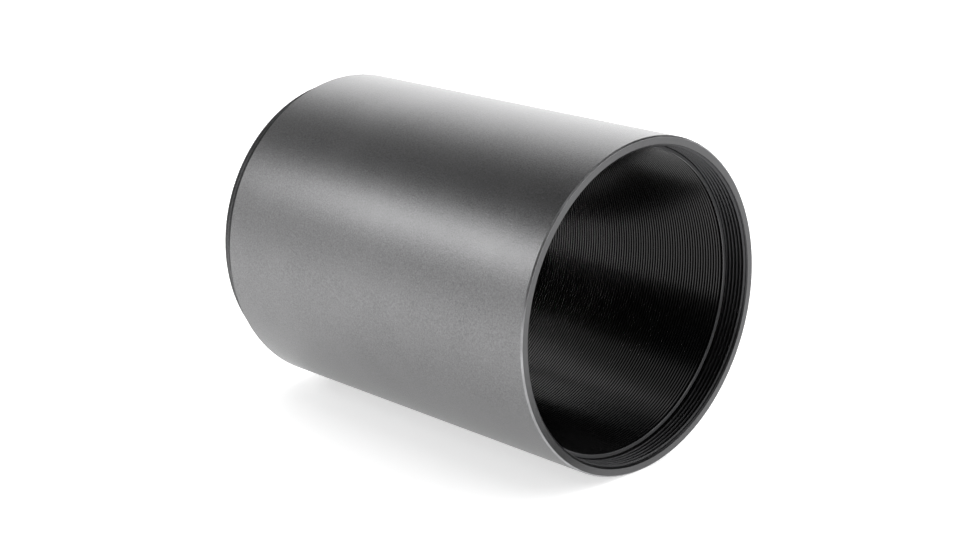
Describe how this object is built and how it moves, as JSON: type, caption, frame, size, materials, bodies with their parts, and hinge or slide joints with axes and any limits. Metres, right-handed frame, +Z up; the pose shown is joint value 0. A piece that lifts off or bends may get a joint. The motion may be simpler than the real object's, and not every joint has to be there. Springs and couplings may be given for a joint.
{
  "type": "barlow lens",
  "caption": "Plain turned tube with a fine thread at each end, a ribbed black baffle inside its open mouth, and a screw-in negative lens cell in the telescope end.",
  "frame": {"origin": "centre of the end face at the telescope end, on the optical axis", "axes": "+X along the optical axis, out of the mouth where the eyepiece or camera goes; +Z up; the tube lies level"},
  "size_m": [0.077, 0.057, 0.057],
  "materials": {
    "grey_anodised": "bead-blasted, satin grey anodised",
    "black_anodised": "matte black anodised, ribbed",
    "cell_black": "satin black anodised",
    "soft_rubber": "matte",
    "gasket_film": "matte black film",
    "coated_glass": "polished, multi-coated"
  },
  "bodies": {
    "tube": {"barrel": "grey_anodised", "baffle_sleeve": "black_anodised"},
    "friction_ring": {"cell_friction_ring": "soft_rubber"},
    "cell": {"lens_cell": "cell_black", "retaining_ring": "cell_black", "cushion_ring": "soft_rubber", "front_element": "coated_glass", "element_spacer": "cell_black", "crown_element": "coated_glass", "flint_element": "coated_glass", "seat_gasket": "gasket_film"}
  },
  "joints": [
    {"name": "cell_travel", "type": "slide", "parent": "tube", "child": "friction_ring", "axis": [-1, 0, 0], "range_m": [0, 0.007]},
    {"name": "cell_turn", "type": "hinge", "parent": "friction_ring", "child": "cell", "pos_m": [0.012, 0, 0], "axis": [-1, 0, 0], "range_deg": [0, 3240]}
  ],
  "couplings": [
    {"joint": "cell_travel", "follows": "cell_turn", "m_per_rad": 0.00011937}
  ]
}
